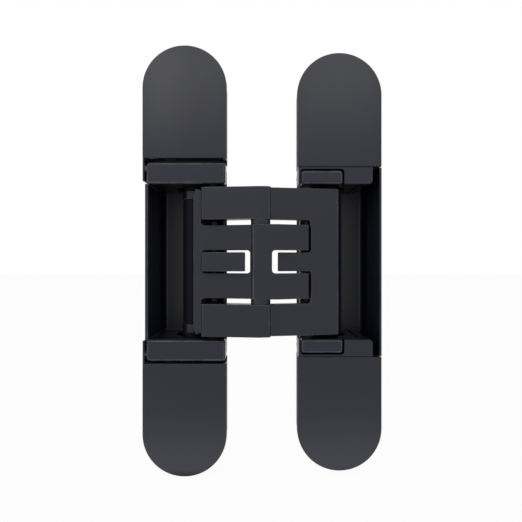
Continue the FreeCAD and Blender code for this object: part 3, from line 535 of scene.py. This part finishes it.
def clean_copy(node: str) -> bmesh.types.BMesh:
    """The outline of a solid as plain faces, ready to be rounded.

    Args:
        node: name of the solid.

    Returns:
        Its mesh, with flat faces joined up.
    """
    shape = bmesh.new()
    shape.from_mesh(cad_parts[node].data)
    bmesh.ops.remove_doubles(shape, verts=shape.verts, dist=MERGE_DISTANCE)
    bmesh.ops.dissolve_limit(
        shape, angle_limit=FLAT_TURN, verts=shape.verts, edges=shape.edges,
        use_dissolve_boundaries=False,
    )
    return shape


def weigh_edges(shape: bmesh.types.BMesh) -> None:
    """Marks the edges to be rounded, and keeps shallow creases and slender corners crisp.

    Args:
        shape: a mesh with its flat faces joined up.
    """
    weight = shape.edges.layers.float.new("bevel_weight_edge")
    for edge in shape.edges:
        if len(edge.link_faces) != 2:
            continue
        turn = edge.calc_face_angle()
        breadth = min(face.calc_area() for face in edge.link_faces) / edge.calc_length()
        if turn > SHARP_TURN:
            edge[weight] = 1.0
        elif breadth > BROAD_FACE and turn > CREASE_TURN:
            edge.smooth = False
    for face in shape.faces:
        for corner in face.loops:
            if corner.calc_angle() < SLENDER_CORNER:
                for edge in (corner.edge, corner.link_loop_prev.edge):
                    edge.smooth = edge.smooth and edge[weight] == 0.0
                    edge[weight] = 0.0


def as_piece(name: str, shape: bmesh.types.BMesh, finish: bpy.types.Material) -> bpy.types.Object:
    """Turns a mesh into an object with its finish.

    Args:
        name: name of the piece.
        shape: its mesh, which is used up.
        finish: its material.

    Returns:
        The object.
    """
    mesh = bpy.data.meshes.new(name)
    shape.to_mesh(mesh)
    shape.free()
    mesh.materials.append(finish)
    made = bpy.data.objects.new(name, mesh)
    bpy.context.scene.collection.objects.link(made)
    return made


def settle(made: bpy.types.Object) -> None:
    """Fixes a piece's modifiers in its mesh.

    Args:
        made: the piece.
    """
    bpy.context.view_layer.update()
    ready = made.evaluated_get(bpy.context.evaluated_depsgraph_get())
    mesh = bpy.data.meshes.new_from_object(ready)
    made.modifiers.clear()
    made.data = mesh


def mark_rounding(made: bpy.types.Object) -> None:
    """Turns the rounded faces' own material slot into a mark on them.

    Args:
        made: a piece whose rounded faces have the second of its two slots.
    """
    mark = made.data.attributes.new(EDGE_MARK, "FLOAT", "FACE")
    for face in made.data.polygons:
        mark.data[face.index].value = float(face.material_index)
        face.material_index = 0
    made.data.materials.pop()


def keep_crisp(made: bpy.types.Object) -> None:
    """Keeps the edges that the rounding left sharp from being shaded smooth.

    Args:
        made: a piece with its edges rounded.
    """
    shape = bmesh.new()
    shape.from_mesh(made.data)
    for edge in shape.edges:
        if len(edge.link_faces) == 2 and edge.calc_face_angle() > SHARP_TURN:
            edge.smooth = False
    shape.to_mesh(made.data)
    shape.free()


def rounded_copy(
    node: str, finish: bpy.types.Material, corner: Corner, thin: bool = False
) -> bpy.types.Object:
    """A piece with the solid's shape and its edges rounded as casting and coating leave them.

    Args:
        node: name of the solid that it stands for.
        finish: its material.
        corner: how far its edges are rounded.
        thin: whether it has strips too thin for that, so that all its edges are rounded less.

    Returns:
        The piece.
    """
    shape = clean_copy(node)
    weigh_edges(shape)
    for face in shape.faces:
        face.smooth = True
    made = as_piece(node + "_coated", shape, finish)
    made.data.materials.append(finish)
    bevel = made.modifiers.new("rounding", "BEVEL")
    bevel.material = 1
    bevel.width = corner.value * MM
    bevel.segments = ROUNDING_STEPS
    bevel.limit_method = "WEIGHT"
    bevel.use_clamp_overlap = thin
    bevel.miter_outer = "MITER_ARC"
    settle(made)
    mark_rounding(made)
    keep_crisp(made)
    even = made.modifiers.new("flat_faces", "WEIGHTED_NORMAL")
    even.mode = "FACE_AREA"
    even.weight = 100
    even.keep_sharp = True
    settle(made)
    return made


def stands_for(made: bpy.types.Object, node: str, body: str) -> None:
    """Puts a piece in place of a solid.

    Args:
        made: the piece.
        node: the solid.
        body: what it moves with.
    """
    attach(made, body)
    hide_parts(node)
    LOG.info("%s rides on %s", made.name, body)


def coat_solid(node: str, finish: bpy.types.Material) -> None:
    """Gives a solid that stays in view its finish.

    Args:
        node: the solid.
        finish: its material.
    """
    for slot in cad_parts[node].material_slots:
        slot.material = finish
    LOG.info("%s keeps its solid", node)


def end_names(stem: str) -> list[str]:
    """Names of a piece's upper and lower copy."""
    return [stem + "_top", stem + "_bottom"]


def skin(
    shape: bmesh.types.BMesh, rings: list[list[bmesh.types.BMVert]]
) -> list[list[bmesh.types.BMFace]]:
    """Joins rings of points with faces, and closes both ends.

    Args:
        shape: the mesh that they are in.
        rings: the rings, in order, each with as many points.

    Returns:
        The faces of each band between two rings, then the two ends.
    """
    bands = []
    for near, far in zip(rings, rings[1:]):
        band = []
        for i in range(len(near)):
            j = (i + 1) % len(near)
            band.append(shape.faces.new((near[i], near[j], far[j], far[i])))
        bands.append(band)
    bands.append([shape.faces.new(rings[0]), shape.faces.new(rings[-1])])
    return bands


@dataclass
class CoverSet:
    """Four push-on covers with rolled edges, in millimetres."""

    thickness: float = 2.5
    back_chamfer: Range = (0.35, 0.3)
    roll: float = 0.3
    roll_steps: int = 5
    corner: float = 0.25
    corner_steps: int = 3
    arc_steps: int = 48
    crease: float = 32.0
    sheen_from: int = 4
    sheen_and_wear: float = 0.25
    post_spread: float = 10.2
    post_sides: int = 20
    post_rings: tuple[Range, ...] = ((2.0, 2.1), (1.5, 2.8), (1.5, 8.2), (1.1, 8.6))
    post_rows: dict[str, float] = field(
        default_factory=lambda: {
            "frame_cover_top": 58.5, "frame_cover_bottom": -58.5,
            "door_cover_top": 56.7, "door_cover_bottom": -57.3,
        }
    )

    def corner_points(self, x: float, inward: float, z: float, onward: float) -> list[Vector]:
        """A small round corner at one side of the straight end.

        Args:
            x: place of the side.
            inward: 1 where the cover lies to the right of it, and -1 to the left.
            z: height of the straight end.
            onward: 1 where the cover lies above it, and -1 below.

        Returns:
            The points, from the straight end's height to its side.
        """
        small = self.corner * MM
        points = []
        for step in range(self.corner_steps + 1):
            angle = math.pi / 2 * step / self.corner_steps
            points.append(Vector((
                x + inward * small * (1 - math.sin(angle)), 0.0,
                z + onward * small * (1 - math.cos(angle)),
            )))
        return points

    def outline(self, low: Vector, high: Vector, upward: bool) -> list[Vector]:
        """Points round a cover, straight at the lug and round at the far end.

        Args:
            low: lowest corner of the cover's box.
            high: highest corner.
            upward: whether the round end is the upper one.

        Returns:
            The points, in order.
        """
        middle = (low.x + high.x) / 2
        radius = (high.x - low.x) / 2
        centre = high.z - radius if upward else low.z + radius
        onward = 1.0 if upward else -1.0
        straight = low.z if upward else high.z
        points = self.corner_points(low.x, 1.0, straight, onward)
        for step in range(self.arc_steps + 1):
            angle = math.pi - math.pi * step / self.arc_steps
            points.append(Vector((
                middle + radius * math.cos(angle), 0.0, centre + onward * radius * math.sin(angle),
            )))
        return points + self.corner_points(high.x, -1.0, straight, onward)[::-1]

    def plate(self, points: list[Vector], front: float) -> bmesh.types.BMesh:
        """The plate with its rolled front edge.

        Args:
            points: outline of the plate.
            front: depth of its front face.

        Returns:
            Its mesh, with the inner part of the roll marked for painted edge highlight.
        """
        shape = bmesh.new()
        inward = []
        for i, point in enumerate(points):
            along = (points[(i + 1) % len(points)] - points[i - 1]).normalized()
            inward.append(Vector((-along.z, 0.0, along.x)))
        centre = sum(points, Vector()) / len(points)
        if inward[0].dot(centre - points[0]) < 0:
            inward = [-side for side in inward]
        inset, depth = self.back_chamfer
        levels = [(inset, self.thickness), (0.0, self.thickness - depth)]
        for step in range(self.roll_steps + 1):
            angle = math.pi / 2 * step / self.roll_steps
            levels.append((self.roll * (1 - math.cos(angle)), self.roll * (1 - math.sin(angle))))
        mark = shape.faces.layers.float.new(EDGE_MARK)
        rings = []
        for inset, depth in levels:
            ring = []
            for point, side in zip(points, inward):
                spot = point + side * inset * MM
                ring.append(shape.verts.new((spot.x, front + depth * MM, spot.z)))
            rings.append(ring)
        # The roll's inner bands get the painted edge highlight.
        for band in skin(shape, rings)[self.sheen_from:-1]:
            for face in band:
                face[mark] = self.sheen_and_wear
        bmesh.ops.recalc_face_normals(shape, faces=shape.faces)
        return shape

    def posts(self, shape: bmesh.types.BMesh, low: Vector, high: Vector, row: float) -> None:
        """Adds the two posts that hold the cover on.

        Args:
            shape: the cover's mesh.
            low: lowest corner of the cover's box.
            high: highest corner.
            row: height of the posts, in millimetres.
        """
        middle = (low.x + high.x) / 2
        for side in (-1.0, 1.0):
            rings = []
            for radius, depth in self.post_rings:
                ring = []
                for step in range(self.post_sides):
                    angle = math.tau * step / self.post_sides
                    ring.append(shape.verts.new((
                        middle + (side * self.post_spread + radius * math.cos(angle)) * MM,
                        low.y + depth * MM,
                        (row + radius * math.sin(angle)) * MM,
                    )))
                rings.append(ring)
            made = [face for band in skin(shape, rings) for face in band]
            bmesh.ops.recalc_face_normals(shape, faces=made)

    def build(self, finishes: Finishes) -> None:
        """Builds the four covers.

        Args:
            finishes: the hinge's materials.
        """
        for node, row in self.post_rows.items():
            low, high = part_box(node)
            shape = self.plate(self.outline(low, high, node.endswith("_top")), low.y)
            self.posts(shape, low, high, row)
            made = as_piece(node + "_coated", shape, finishes.cover)
            made.data.polygons.foreach_set("use_smooth", [True] * len(made.data.polygons))
            made.data.set_sharp_from_angle(angle=math.radians(self.crease))
            stands_for(made, node, node)


class FrameSide:
    """Fixed brackets and the housing that hangs between them."""

    def build(self, finishes: Finishes) -> None:
        """Builds the frame side's pieces.

        Args:
            finishes: the hinge's materials.
        """
        for node in end_names("frame_bracket"):
            made = rounded_copy(node, finishes.body, Corner.STAMPED)
            stands_for(made, node, "frame_fixing")
        made = rounded_copy("frame_housing", finishes.body, Corner.CAST)
        stands_for(made, "frame_housing", "frame_housing")
        for node in end_names("frame_pivot_spacer"):
            coat_solid(node, finishes.washer)
        coat_solid("frame_pivot_pin", finishes.black_steel)


class DoorSide:
    """Carrier with its bearing blocks, inside the case."""

    def build(self, finishes: Finishes) -> None:
        """Builds the door side's pieces.

        Args:
            finishes: the hinge's materials.
        """
        made = rounded_copy("door_case", finishes.body, Corner.STAMPED)
        stands_for(made, "door_case", "door_case")
        made = rounded_copy("door_carrier", finishes.body, Corner.CAST, thin=True)
        stands_for(made, "door_carrier", "door_carrier")
        for node in end_names("door_block"):
            made = rounded_copy(node, finishes.body, Corner.FINE_CAST)
            stands_for(made, node, "door_carrier")
        for node in end_names("door_pivot_spacer"):
            coat_solid(node, finishes.washer)
        coat_solid("door_pivot_pin", finishes.black_steel)


class ArmPair:
    """The two interleaved arms on their centre pin."""

    def build(self, finishes: Finishes) -> None:
        """Builds the arms, pins, washers, spacers, sleeves and tubes.

        Args:
            finishes: the hinge's materials.
        """
        for node in ("frame_arm", "door_arm"):
            made = rounded_copy(node, finishes.arm, Corner.FINE_CAST)
            stands_for(made, node, node)
        for node in end_names("centre_washer"):
            made = rounded_copy(node, finishes.arm, Corner.TURNED)
            stands_for(made, node, "door_arm")
        for node in ("centre_pin", "frame_slider_pin", "door_slider_pin"):
            coat_solid(node, finishes.black_steel)
        for side in ("frame", "door"):
            for part in ("spacer", "sleeve"):
                for node in end_names(f"{side}_slider_{part}"):
                    coat_solid(node, finishes.bearing)
            coat_solid(side + "_slider_tube", finishes.bearing)


@dataclass
class Settings:
    """Clamp screws, washers and cams under the covers, and what each setting's clamps ride on."""

    bodies: dict[str, str] = field(
        default_factory=lambda: {"height": "frame_fixing", "side": "door_case"}
    )

    def build(self, finishes: Finishes) -> None:
        """Builds the adjusting pieces.

        Args:
            finishes: the hinge's materials.
        """
        for stem, body in self.bodies.items():
            for node in end_names(stem + "_clamp_screw") + end_names(stem + "_clamp_washer"):
                made = rounded_copy(node, finishes.black_zinc, Corner.TURNED)
                stands_for(made, node, body)
            cam = stem + "_cam"
            made = rounded_copy(cam, finishes.black_zinc, Corner.TURNED)
            stands_for(made, cam, cam)


@dataclass(frozen=True)
class SoftBox:
    """One soft lamp, placed in millimetres from the hinge's centre."""

    name: str
    place: tuple[float, float, float]
    size: Range
    power: float
    faces_up: bool = False

    def hang(self, centre: Vector) -> None:
        """Hangs the lamp, facing the hinge or straight up.

        Args:
            centre: the hinge's centre, in millimetres.
        """
        light = bpy.data.lights.new(self.name, "AREA")
        light.shape = "RECTANGLE"
        light.size, light.size_y = (side * MM for side in self.size)
        light.energy = self.power
        made = bpy.data.objects.new(self.name, light)
        place = Vector(self.place)
        made.location = (centre + place) * MM
        made.rotation_euler = (-place).to_track_quat("-Z", "Y").to_euler()
        if self.faces_up:
            made.rotation_euler = (math.pi, 0.0, 0.0)
        bpy.context.scene.collection.objects.link(made)


@dataclass
class Studio:
    """Floor, backdrop, lights and camera, in millimetres."""

    centre: tuple[float, float, float] = (27.24, -10.0, -0.02)
    distance: float = 200.0
    view_width: float = 185.78
    sensor: float = 36.0
    nearest: float = 10.0
    floor_level: float = -76.9
    floor_half: float = 3000.0
    floor_white: float = 0.95
    white_share: float = 0.96
    haze: Colour = (0.96, 0.97, 1.0)
    haze_strength: float = 0.45
    boxes: tuple[SoftBox, ...] = (
        SoftBox("top_middle_box", (0.0, -400.0, 280.0), (300.0, 160.0), 0.27),
        SoftBox("top_right_box", (220.0, -400.0, 280.0), (200.0, 160.0), 0.16),
        SoftBox("top_left_box", (-220.0, -400.0, 280.0), (200.0, 160.0), 0.31),
        SoftBox("left_box", (-430.0, -250.0, 0.0), (160.0, 300.0), 0.15),
        SoftBox("foot_pad", (0.0, -20.0, -76.4), (150.0, 36.0), 0.012, faces_up=True),
    )

    def seen_as_background(self, tree: bpy.types.NodeTree) -> bpy.types.NodeSocket:
        """Mask of the rays that see the surroundings as white.

        Args:
            tree: the node tree of the floor or the world.

        Returns:
            A socket that is 1 for camera, glossy and transmission rays.
        """
        path = add_node(tree, "ShaderNodeLightPath")
        total = path.outputs["Is Camera Ray"]
        for kind in ("Is Glossy Ray", "Is Transmission Ray"):
            either = add_node(tree, "ShaderNodeMath", operation="MAXIMUM")
            tree.links.new(total, either.inputs[0])
            tree.links.new(path.outputs[kind], either.inputs[1])
            total = either.outputs[0]
        return total

    def shared_out(
        self,
        tree: bpy.types.NodeTree,
        share: bpy.types.NodeSocket,
        low: bpy.types.Node,
        high: bpy.types.Node,
        output: str,
    ) -> None:
        """Ends a node tree in a mix of two shaders.

        Args:
            tree: the node tree.
            share: the second shader's share.
            low: the first shader.
            high: the second shader.
            output: type of the output node.
        """
        mix = add_node(tree, "ShaderNodeMixShader")
        tree.links.new(share, mix.inputs[0])
        tree.links.new(low.outputs[0], mix.inputs[1])
        tree.links.new(high.outputs[0], mix.inputs[2])
        tree.links.new(mix.outputs[0], add_node(tree, output).inputs[0])

    def white_stage(self) -> bpy.types.Material:
        """Pale material that the camera and reflections see as white, with a faint shadow.

        Returns:
            The material.
        """
        material = bpy.data.materials.new("pale_stage")
        material.use_nodes = True
        tree = material.node_tree
        tree.nodes.clear()
        matt = add_node(tree, "ShaderNodeBsdfDiffuse")
        matt.inputs["Color"].default_value = (*[self.floor_white] * 3, 1.0)
        glow = add_node(tree, "ShaderNodeEmission")
        glow.inputs["Strength"].default_value = 1.0
        share = add_node(tree, "ShaderNodeMath", operation="MULTIPLY")
        share.inputs[1].default_value = self.white_share
        tree.links.new(self.seen_as_background(tree), share.inputs[0])
        self.shared_out(tree, share.outputs[0], matt, glow, "ShaderNodeOutputMaterial")
        return material

    def floor(self) -> None:
        """Lays a wide floor under the hinge."""
        shape = bmesh.new()
        half, level = self.floor_half * MM, self.floor_level * MM
        corners = [(-half, -half), (half, -half), (half, half), (-half, half)]
        shape.faces.new([shape.verts.new((x, y, level)) for x, y in corners])
        as_piece("floor", shape, self.white_stage())

    def world(self) -> None:
        """Soft surrounding light with a white background."""
        world = bpy.data.worlds.new("studio")
        bpy.context.scene.world = world
        world.use_nodes = True
        tree = world.node_tree
        tree.nodes.clear()
        shades = []
        for colour, strength in ((self.haze, self.haze_strength), ((1.0, 1.0, 1.0), 1.0)):
            shade = add_node(tree, "ShaderNodeBackground")
            shade.inputs["Color"].default_value = (*colour, 1.0)
            shade.inputs["Strength"].default_value = strength
            shades.append(shade)
        self.shared_out(tree, self.seen_as_background(tree), *shades, "ShaderNodeOutputWorld")

    def camera(self) -> None:
        """Sets the camera square in front of the hinge."""
        lens = bpy.data.cameras.new("camera")
        lens.sensor_fit = "HORIZONTAL"
        lens.sensor_width = self.sensor
        lens.lens = self.sensor * self.distance / self.view_width
        lens.clip_start = self.nearest * MM
        made = bpy.data.objects.new("camera", lens)
        made.location = (Vector(self.centre) - Vector((0.0, self.distance, 0.0))) * MM
        made.rotation_euler = (math.pi / 2, 0.0, 0.0)
        bpy.context.scene.collection.objects.link(made)
        bpy.context.scene.camera = made

    def build(self) -> None:
        """Builds the whole studio."""
        bpy.context.scene.view_settings.view_transform = "Standard"
        self.floor()
        self.world()
        for box in self.boxes:
            box.hang(Vector(self.centre))
            LOG.info("%s hangs", box.name)
        self.camera()


def main() -> None:
    """Builds the hinge's pieces in order, then the studio."""
    logging.basicConfig(level=logging.INFO, format="%(message)s")
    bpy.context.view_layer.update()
    finishes = Finishes()
    for part in (FrameSide(), DoorSide(), ArmPair(), Settings(), CoverSet()):
        part.build(finishes)
    Studio().build()


if __name__ == "__main__":
    main()
